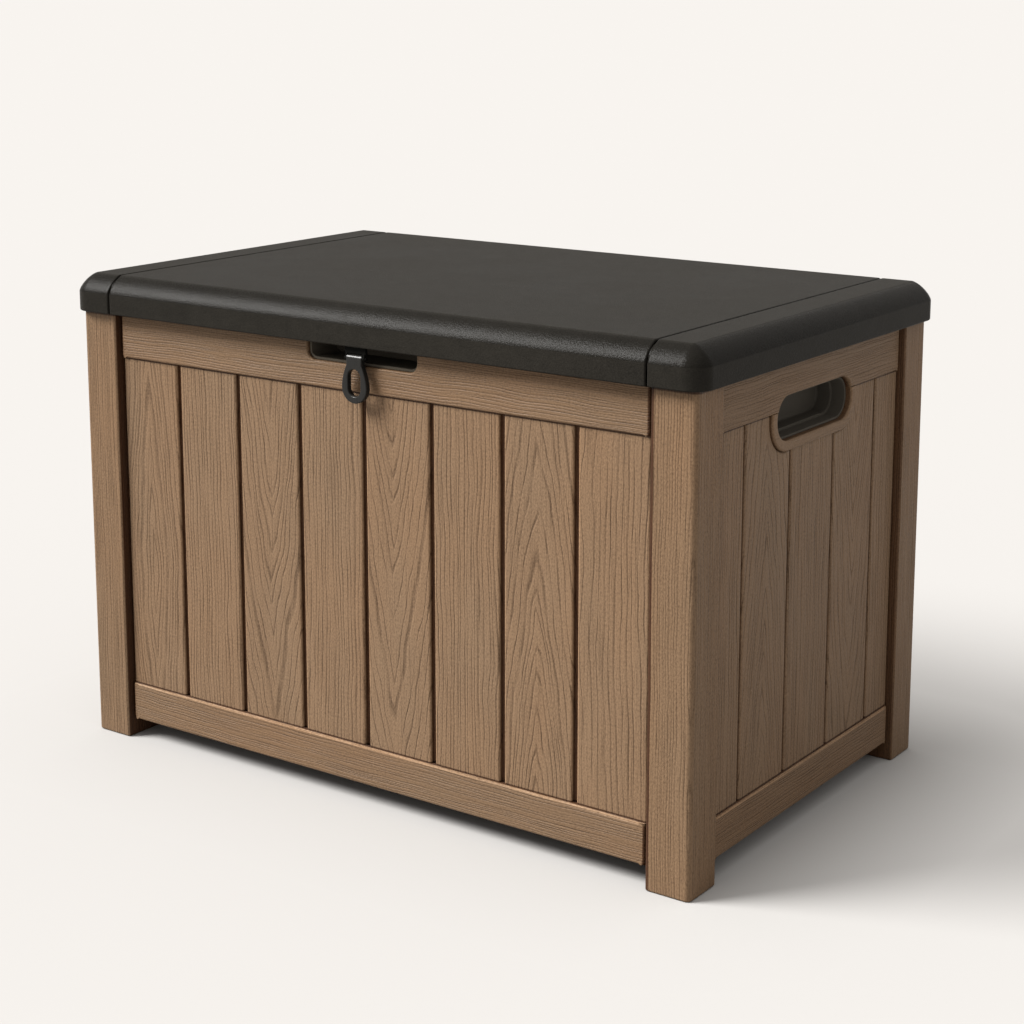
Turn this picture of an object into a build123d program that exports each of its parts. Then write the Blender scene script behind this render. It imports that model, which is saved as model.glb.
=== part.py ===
from build123d import *
import os

# Deck storage box: a framed, boarded body with a hinged plastic lid and a hanging hasp.
# Millimetres, +Z up, the front faces -Y, and the origin is on the ground under the middle of the box.

# ---- overall sizes ----
LENGTH = 720.0          # over the posts, along X
DEPTH = 444.0           # over the posts, along Y
BODY_TOP = 457.0        # top of the posts and of the top rails
LID_BOTTOM = BODY_TOP - 10.0     # lower edge of the lid's skirt
LID_TOP = BODY_TOP + 28.0
OVERHANG = 8.0          # lid past the posts, all round

# ---- frame ----
POST = 45.0
POST_ROUND = 5.0        # on the posts' upright edges
FOOT_ROUND = 3.0
RAIL_SETBACK = 5.0      # rail face behind the post face
RAIL_THICK = 22.0
RAIL_ROUND = 2.0
BOTTOM_RAIL = (20.0, 59.0)
TOP_RAIL = (BODY_TOP - 55.0, BODY_TOP)
TENON_LONG = 10.0
TENON_IN = 5.0          # tenon inside the rail's faces and edges
REVEAL = 2.0            # dark line left at each end of a rail's face
REVEAL_DEEP = 6.0
FIT = 0.1               # gap between parts that slide together

# ---- boards ----
BOARD_SETBACK = 7.5     # board face behind the post face
BOARD_THICK = 10.0
BOARD_ROUND = 1.2
GROOVE_HALF = 1.5       # half the open groove between two board faces
GROOVE_DEEP = 4.0
TONGUE_THICK = 3.0
TONGUE_LONG = 4.0
END_TONGUE_THICK = 6.0
END_TONGUE_LONG = 6.0
FRONT_BOARDS = 8
SIDE_PITCH = 84.5       # the three full boards of a side

# ---- floor ----
FLOOR = (42.0, 50.0)
FLOOR_IN = 6.0          # how far the floor runs into the rails

# ---- hand holes ----
HOLE_HALF = 72.0
HOLE = (BODY_TOP - 83.0, BODY_TOP - 42.0)
HOLE_ROUND = 20.0
RIM = 10.0              # width of the rim round the lower half
CUP_WALL = 2.5
CUP_DEEP = 36.0

# ---- finger notch under the front of the lid ----
NOTCH_HALF = 65.0
NOTCH_BOTTOM = BODY_TOP - 29.5
NOTCH_ROUND = 9.0
NOTCH_CUP_DEEP = 40.0

# ---- lid ----
LID_WALL = 3.5
LID_EDGE_ROUND = 18.5
LID_CORNER_ROUND = 20.0
SEAM_X = 315.0
SEAM_HALF = 0.8
FLANGE_LONG = 12.0
FLANGE_THICK = 3.0
LINER = (BODY_TOP + 0.5, BODY_TOP + 4.5)
LINER_HALF_X = 352.0
LINER_Y = (-212.0, 207.0)
RIB_THICK = 3.0
RIB_END = 300.0
BOSS_R = 5.0            # round the screws of the hasp's bracket
BOSS_TOP = LID_TOP - 10.0

# ---- lid hinges ----
HINGE_X = 210.0
HINGE_LONG = 60.0
KNUCKLES = 5
KNUCKLE_GAP = 0.3
KNUCKLE_R = 4.0
HINGE_PIN_R = 2.0
RUNNING = 0.05          # radial clearance round a pin that turns
LEAF = 2.0
HINGE_Y = DEPTH / 2 + KNUCKLE_R
HINGE_Z = BODY_TOP - 15.0
LEAF_TOP = BODY_TOP + 17.5
LEAF_BOTTOM = BODY_TOP - 51.0
HINGE_LAND = 15.0       # depth of the solid land behind the lid leaf
SCREW_PITCH = 21.0

# ---- hasp ----
HASP_Y = -(DEPTH / 2 + 2)
HASP_Z = BODY_TOP - 21.0
HASP_THICK = 6.0
HASP_HUB_R = 3.5
HASP_PIN_R = 1.6
HASP_NECK = 9.0         # half the width at the bend
HASP_HALF = 14.0        # half the width at the widest
HASP_FLARE = (12.2, BODY_TOP - 35.0)    # a point on the edge that widens
HASP_BOTTOM = BODY_TOP - 63.0
HASP_NECK_Z = BODY_TOP - 27.0           # below this the tongue widens
HASP_SLOT_HALF = 7.5
HASP_SLOT = (BODY_TOP - 56.5, BODY_TOP - 31.0)
EAR = 3.2
EAR_GAP = 0.3
ARM = (-(DEPTH / 2 + 3), -DEPTH / 2)
ARM_LIFT = 1.0          # between the hub and the arm, so that the tongue swings up freely
FOOT_BACK = -190.0      # back end of the bracket's foot
FOOT_THICK = 4.0

# ---- screws ----
SCREW_R = 1.75
HEAD_R = 3.6
HEAD_DEEP = 1.8
SCREW_LONG = 15.0

HALF_X = LENGTH / 2
HALF_Y = DEPTH / 2
SPAN_X = HALF_X - POST  # half the opening between the posts, along the front
SPAN_Y = HALF_Y - POST


# ---------------------------------------------------------------- small helpers

def block(x, y, z):
    """A box from three (low, high) pairs."""
    size = (x[1] - x[0], y[1] - y[0], z[1] - z[0])
    middle = ((x[0] + x[1]) / 2, (y[0] + y[1]) / 2, (z[0] + z[1]) / 2)
    return Pos(*middle) * Box(*size)


def rounded(x, y, z, radius):
    """A box whose edges along Y are rounded."""
    shape = block(x, y, z)
    return fillet(shape.edges().filter_by(Axis.Y), radius)


def rod_x(radius, x, y, z):
    """A round rod along X between two places."""
    return Pos((x[0] + x[1]) / 2, y, z) * Rot(0, 90, 0) * Cylinder(radius, x[1] - x[0])


def turned(shape, degrees):
    """The shape turned about the box's upright centre line."""
    return Rot(0, 0, degrees) * shape


def whole(shape):
    """The shape as one solid, or as a group of separate solids."""
    solids = shape.solids()
    return solids[0] if len(solids) == 1 else Compound(children=list(solids))


def save(name, shape):
    export_step(whole(shape), "parts/" + name + ".step")


# ---------------------------------------------------------------- one wall, drawn as the front
# "out" is the distance from the box's centre line to the post face of that wall,
# and "span" is half the opening between its two posts.

def tongue_band(out):
    """The depth range of a board's edge tongue."""
    middle = -(out - BOARD_SETBACK - BOARD_THICK / 2 - 1.0)
    return middle - TONGUE_THICK / 2, middle + TONGUE_THICK / 2


def end_tongue_band(out):
    """The depth range of the tongue on a board's end."""
    middle = -(out - BOARD_SETBACK - BOARD_THICK / 2)
    return middle - END_TONGUE_THICK / 2, middle + END_TONGUE_THICK / 2


def widened(band, by):
    return band[0] - by, band[1] + by


def rail(out, span, height):
    """A rail with a tenon at each end, and a thin reveal where its face meets the posts."""
    face = -(out - RAIL_SETBACK)
    back = face + RAIL_THICK
    shape = block((-span, span), (face, back), height)
    long_edges = shape.edges().filter_by(Axis.X).group_by(Axis.Y)[0]
    shape = fillet(long_edges, RAIL_ROUND)
    for side in (-1, 1):
        ends = sorted((side * span, side * (span - REVEAL)))
        shape -= block(ends, (face, face + REVEAL_DEEP), height)
        ends = sorted((side * (span - 1), side * (span + TENON_LONG)))
        tenon = (face + TENON_IN, back - TENON_IN)
        shape += block(ends, tenon, (height[0] + TENON_IN, height[1] - TENON_IN))
    return shape


def bottom_rail(out, span):
    """The lower rail, grooved for the board ends above and for the floor behind."""
    shape = rail(out, span, BOTTOM_RAIL)
    top = BOTTOM_RAIL[1]
    run = (-span - TENON_LONG - 1, span + TENON_LONG + 1)
    shape -= block(run, widened(end_tongue_band(out), FIT), (top - END_TONGUE_LONG - 1, top + 1))
    back = -(out - RAIL_SETBACK) + RAIL_THICK
    shape -= block(run, (back - FLOOR_IN - 0.5, back + 1), widened(FLOOR, FIT))
    return shape


def top_rail(out, span):
    """The upper rail, grooved below for the board ends."""
    shape = rail(out, span, TOP_RAIL)
    low = TOP_RAIL[0]
    run = (-span - TENON_LONG - 1, span + TENON_LONG + 1)
    return shape - block(run, widened(end_tongue_band(out), FIT), (low - 1, low + END_TONGUE_LONG + 1))


def board(out, left, right, tongue_left):
    """One upright board: rounded face edges, side tongue and groove, and a tongue on each end."""
    face = -(out - BOARD_SETBACK)
    back = face + BOARD_THICK
    height = (BOTTOM_RAIL[1], TOP_RAIL[0])
    front = block((left + GROOVE_HALF, right - GROOVE_HALF), (face, back), height)
    front = fillet(front.edges().filter_by(Axis.Z).group_by(Axis.Y)[0], BOARD_ROUND)
    shape = front + block((left + FIT / 2, right - FIT / 2), (face + GROOVE_DEEP, back), height)
    ends = (height[0] - END_TONGUE_LONG, height[1] + END_TONGUE_LONG)
    shape += block((left + FIT / 2, right - FIT / 2), end_tongue_band(out), ends)
    band = tongue_band(out)
    shape += block((right - 1, right + TONGUE_LONG), band, height)
    if tongue_left:
        shape += block((left - TONGUE_LONG, left + 1), band, height)
    else:
        shape -= block((left - 1, left + TONGUE_LONG + 0.5), widened(band, FIT), widened(ends, 1))
    return shape


def boards(out, edges):
    """The boards of one wall, between the given edges from left to right."""
    pairs = zip(edges[:-1], edges[1:])
    return [board(out, left, right, count == 0) for count, (left, right) in enumerate(pairs)]


# ---------------------------------------------------------------- frame parts

def post():
    """The front right post, with mortises for four tenons and grooves for two boards' tongues."""
    x = (SPAN_X, HALF_X)
    y = (-HALF_Y, -SPAN_Y)
    shape = block(x, y, (0, BODY_TOP))
    shape = fillet(shape.edges().filter_by(Axis.Z), POST_ROUND)
    shape = fillet(shape.edges().group_by(Axis.Z)[0], FOOT_ROUND)
    groove = (BOTTOM_RAIL[1] - END_TONGUE_LONG, TOP_RAIL[0] + END_TONGUE_LONG)
    for out, span, degrees in ((HALF_Y, SPAN_X, 0), (HALF_X, SPAN_Y, 90)):
        # drawn on the front wall's right-hand end, or on the right wall's near end
        side = 1 if degrees == 0 else -1
        near = side * (span - 1)
        tenon_y = (-(out - RAIL_SETBACK) + TENON_IN, -(out - RAIL_SETBACK) + RAIL_THICK - TENON_IN)
        for height in (BOTTOM_RAIL, TOP_RAIL):
            tenon_z = (height[0] + TENON_IN, height[1] - TENON_IN)
            ends = sorted((near, side * (span + TENON_LONG + 0.5)))
            shape -= turned(block(ends, widened(tenon_y, FIT), widened(tenon_z, FIT)), degrees)
        ends = sorted((near, side * (span + TONGUE_LONG + 0.5)))
        shape -= turned(block(ends, widened(tongue_band(out), FIT), groove), degrees)
    return shape


def floor_panel():
    """The floor, with a corner cut out round each post."""
    x = HALF_X - RAIL_SETBACK - RAIL_THICK + FLOOR_IN
    y = HALF_Y - RAIL_SETBACK - RAIL_THICK + FLOOR_IN
    shape = block((-x, x), (-y, y), FLOOR)
    for sx in (-1, 1):
        for sy in (-1, 1):
            corner_x = sorted((sx * (SPAN_X - 0.5), sx * HALF_X))
            corner_y = sorted((sy * (SPAN_Y - 0.5), sy * HALF_Y))
            shape -= block(corner_x, corner_y, widened(FLOOR, 1))
    return shape


# ---------------------------------------------------------------- hand holes, drawn in the front wall's place

def hole_shape(grow, y):
    """The hand hole's outline, grown all round, as a prism through the wall."""
    return rounded(
        (-HOLE_HALF - grow, HOLE_HALF + grow), y, (HOLE[0] - grow, HOLE[1] + grow), HOLE_ROUND + grow
    )


def handle_rim():
    """The raised rim round the lower half of the hand hole, flush with the rail's face."""
    face = -(HALF_X - RAIL_SETBACK)
    shape = hole_shape(RIM, (face, face + RAIL_THICK))
    shape -= hole_shape(0, (face - 1, face + RAIL_THICK + 1))
    return shape & block((-100, 100), (face - 1, face + RAIL_THICK + 1), (0, TOP_RAIL[0]))


def handle_cup():
    """A closed, stepped cup behind the hand hole, with a flange against the wall's inside."""
    face = -(HALF_X - RAIL_SETBACK)
    back = face + RAIL_THICK
    front = face + 2.0
    shape = hole_shape(-0.2, (front, front + CUP_DEEP))
    shape += hole_shape(RIM - 1, (back, back + CUP_WALL))
    shape -= hole_shape(-CUP_WALL, (front - 1, front + CUP_DEEP * 0.5))
    return shape - hole_shape(-2 * CUP_WALL, (front - 1, front + CUP_DEEP - 3.0))


# ---------------------------------------------------------------- finger notch

def notch_shape(grow, y):
    """The notch's outline, open at the top, as a prism through the front rail."""
    return rounded(
        (-NOTCH_HALF - grow, NOTCH_HALF + grow), y, (NOTCH_BOTTOM - grow, BODY_TOP + 40), NOTCH_ROUND + grow
    )


def finger_cup():
    """The dark trough behind the notch, open to the front and the top, with a flange inside the rail."""
    face = -(HALF_Y - RAIL_SETBACK)
    back = face + RAIL_THICK
    front = face + 1.5
    shape = notch_shape(-0.15, (front, front + NOTCH_CUP_DEEP))
    shape += notch_shape(8.0, (back, back + CUP_WALL))
    shape -= notch_shape(-CUP_WALL, (front - 1, front + NOTCH_CUP_DEEP - CUP_WALL))
    return shape & block((-100, 100), (-HALF_Y, 0), (0, BODY_TOP - 0.5))


# ---------------------------------------------------------------- lid

def lid_body(inset):
    """The lid's outer form, shrunk by an inset: rounded corners in plan, and a rounded top edge."""
    half_x = HALF_X + OVERHANG - inset
    half_y = HALF_Y + OVERHANG - inset
    low = LID_BOTTOM if inset == 0 else LID_BOTTOM - 5
    shape = block((-half_x, half_x), (-half_y, half_y), (low, LID_TOP - inset))
    shape = fillet(shape.edges().filter_by(Axis.Z), LID_CORNER_ROUND - inset)
    return fillet(shape.edges().group_by(Axis.Z)[-1], LID_EDGE_ROUND - inset)


def slab(x0, x1):
    return block((x0, x1), (-HALF_Y - 50, HALF_Y + 50), (LID_BOTTOM, LID_TOP + 50))


def hinge_land(x):
    """The solid land inside the lid's back skirt that takes one hinge's screws."""
    half = HINGE_LONG / 2 + 4
    back = HALF_Y + OVERHANG - LID_WALL
    return block((x - half, x + half), (back - HINGE_LAND + LEAF, back + 1), (BODY_TOP + 2, LID_TOP - LID_WALL + 1))


def lid_panel(outer, inner):
    """The long middle panel of the lid: top and two skirts in one shell, with two hinge lands."""
    shell = outer - inner
    for x in (-HINGE_X, HINGE_X):
        shell += hinge_land(x) & outer
    shell = shell & slab(-SEAM_X + SEAM_HALF, SEAM_X - SEAM_HALF)
    rear = HALF_Y + OVERHANG
    for x in (-HINGE_X, HINGE_X):
        half = HINGE_LONG / 2 + 0.3
        shell -= block((x - half, x + half), (rear - LEAF, rear + 1), (LID_BOTTOM - 1, LEAF_TOP + 0.3))
        for place in screw_places(x):
            shell -= Pos(place, rear - LEAF - 8, LEAF_TOP - 8) * Rot(90, 0, 0) * Cylinder(SCREW_R, 20)
    return shell


def lid_end(outer, inner):
    """The right end cap of the lid, with a flange that runs under the middle panel."""
    shape = (outer - inner) & slab(SEAM_X + SEAM_HALF, HALF_X + 50)
    under = inner - lid_body(LID_WALL + FLANGE_THICK)
    shape += under & slab(SEAM_X + SEAM_HALF, SEAM_X + 8)
    tucked = lid_body(LID_WALL + FIT) - lid_body(LID_WALL + FLANGE_THICK)
    return shape + (tucked & slab(SEAM_X - FLANGE_LONG, SEAM_X + SEAM_HALF + 0.1))


def lid_liner():
    """The flat inner panel that closes the lid below, with ribs up to the outer skin."""
    shape = block((-LINER_HALF_X, LINER_HALF_X), LINER_Y, LINER)
    skin = LID_TOP - LID_WALL
    for y in (-135.0, -45.0, 45.0, 135.0):
        shape += block((-RIB_END, RIB_END), (y - RIB_THICK / 2, y + RIB_THICK / 2), (LINER[0], skin))
    for x in (-RIB_END + RIB_THICK, 0, RIB_END - RIB_THICK):
        shape += block((x - RIB_THICK / 2, x + RIB_THICK / 2), (-150, 150), (LINER[0], skin))
    for x, y in bracket_screw_places():
        shape += Pos(x, y, (LINER[0] + BOSS_TOP) / 2) * Cylinder(BOSS_R, BOSS_TOP - LINER[0])
    for x, y in bracket_screw_places():
        shape -= Pos(x, y, LINER[0] + 5) * Cylinder(SCREW_R, 12.01)
    return shape


# ---------------------------------------------------------------- lid hinges

def screw_places(x):
    return [x + step * SCREW_PITCH for step in (-1, 0, 1)]


def knuckle_spans(x, lid_side):
    """The X ranges of one leaf's knuckles: odd ones belong to the body leaf, even ones to the lid leaf."""
    pitch = HINGE_LONG / KNUCKLES
    start = x - HINGE_LONG / 2
    wanted = 1 if lid_side else 0
    spans = [(start + n * pitch, start + (n + 1) * pitch) for n in range(KNUCKLES) if n % 2 == wanted]
    return [(a + KNUCKLE_GAP / 2, b - KNUCKLE_GAP / 2) for a, b in spans]


def screw_hole(x, y, z, away):
    """A countersunk hole through a leaf whose outer face is at y; away is +1 where that face looks to +Y."""
    hole = Pos(x, y, z) * Rot(90, 0, 0) * Cylinder(SCREW_R + 0.1, 10)
    seat = Cone(SCREW_R + 0.1, HEAD_R + 0.1, HEAD_DEEP)
    return hole + Pos(x, y - away * HEAD_DEEP / 2, z) * Rot(-90 * away, 0, 0) * seat


def body_leaf(x):
    """The cranked leaf on the back top rail, with three knuckles round the fixed pin."""
    face = HALF_Y - RAIL_SETBACK
    half = HINGE_LONG / 2
    shape = block((x - half, x + half), (face, face + LEAF), (LEAF_BOTTOM, HINGE_Z - KNUCKLE_R))
    for span in knuckle_spans(x, False):
        low = HINGE_Z - KNUCKLE_R
        shape += block(span, (face, face + LEAF), (low, low + 2.5))
        shape += block(span, (face, HINGE_Y), (low, low + 2.5))
        shape += rod_x(KNUCKLE_R, span, HINGE_Y, HINGE_Z)
    shape -= rod_x(HINGE_PIN_R, (x - half - 1, x + half + 1), HINGE_Y, HINGE_Z)
    for place in screw_places(x):
        shape -= screw_hole(place, face + LEAF, LEAF_BOTTOM + 12, 1)
    return shape


def lid_leaf(x):
    """The leaf let flush into the lid's back skirt, with two knuckles that turn on the pin."""
    rear = HALF_Y + OVERHANG
    half = HINGE_LONG / 2
    shape = block((x - half, x + half), (rear - LEAF, rear), (LID_BOTTOM, LEAF_TOP))
    for span in knuckle_spans(x, True):
        shape += block(span, (rear - LEAF, rear), (HINGE_Z, LID_BOTTOM + 1))
        shape += rod_x(KNUCKLE_R, span, HINGE_Y, HINGE_Z)
    shape -= rod_x(HINGE_PIN_R + RUNNING, (x - half - 1, x + half + 1), HINGE_Y, HINGE_Z)
    for place in screw_places(x):
        shape -= screw_hole(place, rear, LEAF_TOP - 8, 1)
    return shape


def hinge_pin(x):
    half = HINGE_LONG / 2
    shape = rod_x(HINGE_PIN_R, (x - half, x + half), HINGE_Y, HINGE_Z)
    for side in (-1, 1):
        head = sorted((x + side * (half - KNUCKLE_GAP / 2), x + side * (half + 1.5)))
        shape += rod_x(HINGE_PIN_R + 1, head, HINGE_Y, HINGE_Z)
    return shape


def screw():
    """A countersunk screw that points down, its head's face at the origin, with a cross recess."""
    shape = Pos(0, 0, -HEAD_DEEP / 2) * Cone(SCREW_R, HEAD_R, HEAD_DEEP)
    straight = SCREW_LONG - 4.0
    shape += Pos(0, 0, -straight / 2) * Cylinder(SCREW_R, straight)
    shape += Pos(0, 0, -straight - 2.0) * Cone(0.3, SCREW_R, 4.0)
    for size in ((3.6, 0.8, 2.0), (0.8, 3.6, 2.0)):
        shape -= Box(*size)
    return shape


def screws_along_back(y, z):
    """Six screws driven forward, three for each hinge."""
    places = screw_places(-HINGE_X) + screw_places(HINGE_X)
    return [Pos(x, y, z) * Rot(-90, 0, 0) * screw() for x in places]


# ---------------------------------------------------------------- hasp

def hasp():
    """The hanging tongue: a rolled hub on the pin, a flat plate that widens downwards, and a long slot."""
    front = HASP_Y - HASP_HUB_R
    neck = (HASP_NECK, HASP_NECK_Z)
    wide = (HASP_HALF, HASP_BOTTOM + HASP_HALF)
    top = Polyline((-neck[0], neck[1]), (-neck[0], HASP_Z), (neck[0], HASP_Z), neck)
    right = ThreePointArc(neck, HASP_FLARE, wide)
    round_end = ThreePointArc(wide, (0, HASP_BOTTOM), (-wide[0], wide[1]))
    left = ThreePointArc((-wide[0], wide[1]), (-HASP_FLARE[0], HASP_FLARE[1]), (-neck[0], neck[1]))
    face = make_face(top + right + round_end + left)
    plate = extrude(Plane.XZ.offset(-front) * face, -HASP_THICK)
    hub = rod_x(HASP_HUB_R, (-HASP_NECK, HASP_NECK), HASP_Y, HASP_Z)
    slot = rounded(
        (-HASP_SLOT_HALF, HASP_SLOT_HALF), (front - 5, front + 15), HASP_SLOT, HASP_SLOT_HALF - 0.05
    )
    shape = plate + hub - slot
    return shape - rod_x(HASP_PIN_R + RUNNING, (-30, 30), HASP_Y, HASP_Z)


def bracket_screw_places():
    return [(-8.0, -201.0), (8.0, -201.0)]


def hasp_bracket():
    """The angle under the lid's front lip: an arm with two ears for the pin, and a foot under the liner."""
    inner = HASP_NECK + EAR_GAP
    half = inner + EAR
    top = LINER[0]
    shape = block((-half, half), ARM, (HASP_Z + HASP_HUB_R + ARM_LIFT, top))
    shape += block((-half, half), (ARM[0], FOOT_BACK), (top - FOOT_THICK, top))
    for sign in (-1, 1):
        span = sorted((sign * inner, sign * half))
        shape += rod_x(HASP_HUB_R, span, HASP_Y, HASP_Z)
        shape += block(span, ARM, (HASP_Z, top))
    shape -= rod_x(HASP_PIN_R, (-30, 30), HASP_Y, HASP_Z)
    low = top - FOOT_THICK
    for x, y in bracket_screw_places():
        shape -= Pos(x, y, top - 2) * Cylinder(SCREW_R + 0.1, 10)
        shape -= Pos(x, y, low + HEAD_DEEP / 2) * Rot(180, 0, 0) * Cone(SCREW_R + 0.1, HEAD_R + 0.1, HEAD_DEEP)
    return shape


def hasp_pin():
    half = HASP_NECK + EAR_GAP + EAR
    return rod_x(HASP_PIN_R, (-half, half), HASP_Y, HASP_Z)


# ---------------------------------------------------------------- everything in its place

def front_edges():
    pitch = 2 * SPAN_X / FRONT_BOARDS
    return [-SPAN_X + n * pitch for n in range(FRONT_BOARDS + 1)]


def side_edges():
    inner = [(n - 1.5) * SIDE_PITCH for n in range(4)]
    return [-SPAN_Y] + inner + [SPAN_Y]


def save_frame():
    corner = post()
    mirrored = mirror(corner, Plane.YZ)
    save("post_front_right", corner)
    save("post_front_left", mirrored)
    save("post_back_right", mirror(corner, Plane.XZ))
    save("post_back_left", mirror(mirrored, Plane.XZ))
    save("floor_panel", floor_panel())
    for wall, out, span, degrees in (
        ("front", HALF_Y, SPAN_X, 0),
        ("back", HALF_Y, SPAN_X, 180),
        ("right", HALF_X, SPAN_Y, 90),
        ("left", HALF_X, SPAN_Y, -90),
    ):
        upper = top_rail(out, span)
        if wall == "front":
            upper -= notch_shape(0, (-HALF_Y, -SPAN_Y + 1))
        if wall in ("left", "right"):
            upper -= hole_shape(0, (-HALF_X, -SPAN_X + 1))
        placed = turned(upper, degrees)
        if wall == "back":
            for x in screw_places(-HINGE_X) + screw_places(HINGE_X):
                drill = Pos(x, HALF_Y - 10, LEAF_BOTTOM + 12) * Rot(90, 0, 0) * Cylinder(SCREW_R, 19)
                placed -= drill
        save("top_rail_" + wall, placed)
        save("bottom_rail_" + wall, turned(bottom_rail(out, span), degrees))
        edges = side_edges() if wall in ("left", "right") else front_edges()
        cutter = hole_shape(RIM + 0.2, (-HALF_X, -SPAN_X)) if wall in ("left", "right") else None
        for number, plank in enumerate(boards(out, edges), start=1):
            if cutter is not None:
                plank -= cutter
            save(f"{wall}_board_{number}", turned(plank, degrees))


def save_hand_holds():
    rim = handle_rim()
    cup = handle_cup()
    for side, degrees in (("right", 90), ("left", -90)):
        save("handle_rim_" + side, turned(rim, degrees))
        save("handle_cup_" + side, turned(cup, degrees))
    save("finger_cup", finger_cup())


def save_lid():
    outer = lid_body(0)
    inner = lid_body(LID_WALL)
    save("lid_panel", lid_panel(outer, inner))
    right = lid_end(outer, inner)
    save("lid_end_right", right)
    save("lid_end_left", mirror(right, Plane.YZ))
    save("lid_liner", lid_liner())


def save_hinges():
    for side, x in (("left", -HINGE_X), ("right", HINGE_X)):
        save(f"hinge_{side}_body_leaf", body_leaf(x))
        save(f"hinge_{side}_lid_leaf", lid_leaf(x))
        save(f"hinge_{side}_pin", hinge_pin(x))
    body = screws_along_back(HALF_Y - RAIL_SETBACK + LEAF, LEAF_BOTTOM + 12)
    lid = screws_along_back(HALF_Y + OVERHANG, LEAF_TOP - 8)
    save("hinge_body_screws", Compound(children=body))
    save("hinge_lid_screws", Compound(children=lid))


def save_hasp():
    save("hasp", hasp())
    save("hasp_bracket", hasp_bracket())
    save("hasp_pin", hasp_pin())
    low = LINER[0] - FOOT_THICK
    screws = [Pos(x, y, low) * Rot(180, 0, 0) * screw() for x, y in bracket_screw_places()]
    save("bracket_screws", Compound(children=screws))


os.makedirs("parts", exist_ok=True)
save_frame()
save_hand_holds()
save_lid()
save_hinges()
save_hasp()
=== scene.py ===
import math

import bmesh
import bpy
from mathutils import Matrix, Vector, geometry


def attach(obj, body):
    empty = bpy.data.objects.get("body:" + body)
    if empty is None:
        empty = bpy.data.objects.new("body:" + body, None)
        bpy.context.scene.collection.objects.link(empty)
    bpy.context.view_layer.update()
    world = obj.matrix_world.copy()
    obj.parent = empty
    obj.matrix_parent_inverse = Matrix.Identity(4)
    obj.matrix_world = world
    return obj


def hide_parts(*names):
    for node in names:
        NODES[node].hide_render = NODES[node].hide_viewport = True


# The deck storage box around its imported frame. Sizes below are millimetres; meshes are made in
# millimetres as if each wall were the front one, then turned to their wall and scaled to metres.

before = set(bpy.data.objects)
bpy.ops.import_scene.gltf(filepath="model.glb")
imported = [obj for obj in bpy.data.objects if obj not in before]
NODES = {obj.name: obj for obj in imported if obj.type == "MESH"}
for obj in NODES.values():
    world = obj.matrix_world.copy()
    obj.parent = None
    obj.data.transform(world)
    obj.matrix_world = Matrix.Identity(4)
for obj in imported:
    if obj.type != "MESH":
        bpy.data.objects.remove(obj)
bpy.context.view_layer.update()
MM = 0.001

# ---- frame sizes ----
HALF_X, HALF_Y = 360.0, 222.0      # over the posts
BODY_TOP = 457.0
POST = 45.0
POST_ROUND, POST_INNER_ROUND = 5.5, 2.5
# past the inner round: where the painted shade line ends, where the painted highlight on the edge is, and
# where it ends
POST_PAINTED_LINE = (0.7, 1.3, 2.6)
FOOT_ROUND, TOP_ROUND = 2.4, 1.0
SPAN_X, SPAN_Y = HALF_X - POST, HALF_Y - POST
RAIL_SETBACK, RAIL_THICK, RAIL_ROUND = 5.0, 22.0, 2.6
REVEAL, REVEAL_DEEP = 3.4, 6.0
BOTTOM_RAIL, TOP_RAIL = (20.0, 59.0), (BODY_TOP - 55.0, BODY_TOP)

# ---- boards ----
BOARD_SETBACK, BOARD_THICK, BOARD_ROUND = 7.5, 10.0, 2.4
GAP_FRONT, GAP_SIDE, GAP_POST, GROOVE_DEEP = 2.5, 1.3, 0.8, 4.0
SIDE_PITCH = 84.5

# ---- hand hole and finger notch ----
HOLE_HALF, HOLE, HOLE_ROUND = 72.0, (BODY_TOP - 83.0, BODY_TOP - 42.0), 20.0
RIM, RIM_ROUND, RIM_GAP = 10.0, 2.2, 0.2
CUP_WALL, CUP_DEEP, CUP_START = 2.5, 36.0, 2.0
NOTCH_HALF, NOTCH_BOTTOM, NOTCH_ROUND, NOTCH_DEEP = 65.0, BODY_TOP - 29.5, 9.0, 40.0
NOTCH_START, NOTCH_FLANGE = 4.0, 8.0

# ---- lid ----
LID_X, LID_Y = 368.0, 230.0
LID_LOW, LID_TOP = BODY_TOP - 10.0, BODY_TOP + 28.0
LID_WALL, LID_ROUND, LID_CORNER = 3.5, 18.5, 20.0
SEAM_X, SEAM_HALF, SEAM_ROUND = 315.0, 0.8, 1.7
LIP_ROUND = 1.5
LID_BULGE = 1.4                     # 2 is a round edge, 1 a plain chamfer
LINER_LOW = BODY_TOP + 0.5
FLANGE, FLANGE_THICK = (SEAM_X - 12.0, SEAM_X + 8.0), 3.0
HINGE_X, LEAF_HALF, LEAF_TOP, LEAF_DEEP = 210.0, 30.3, BODY_TOP + 17.8, 2.0
LAND_FRONT, LAND_HALF = 213.5, 34.0  # the solid land behind each lid leaf

# ---- hasp ----
HASP_Y, HASP_Z, HUB_R = -(HALF_Y + 2.0), BODY_TOP - 21.0, 3.5
HASP_THICK = 6.0
HASP_NECK, HASP_HALF = 9.0, 14.6
HASP_BOTTOM, HASP_NECK_Z = BODY_TOP - 63.0, BODY_TOP - 27.0
HASP_SLOT_HALF, HASP_SLOT = 7.5, (BODY_TOP - 56.5, BODY_TOP - 31.0)
HASP_ROUND, HUB_ROUND, ARM_ROUND = 1.0, 0.7, 0.6
EAR, EAR_GAP = 3.2, 0.3
ARM = (-(HALF_Y + 3.0), -HALF_Y)
ARM_LIFT = 1.0
FOOT_BACK, FOOT_THICK = -190.0, 4.0


# ---- outlines ----

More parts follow.
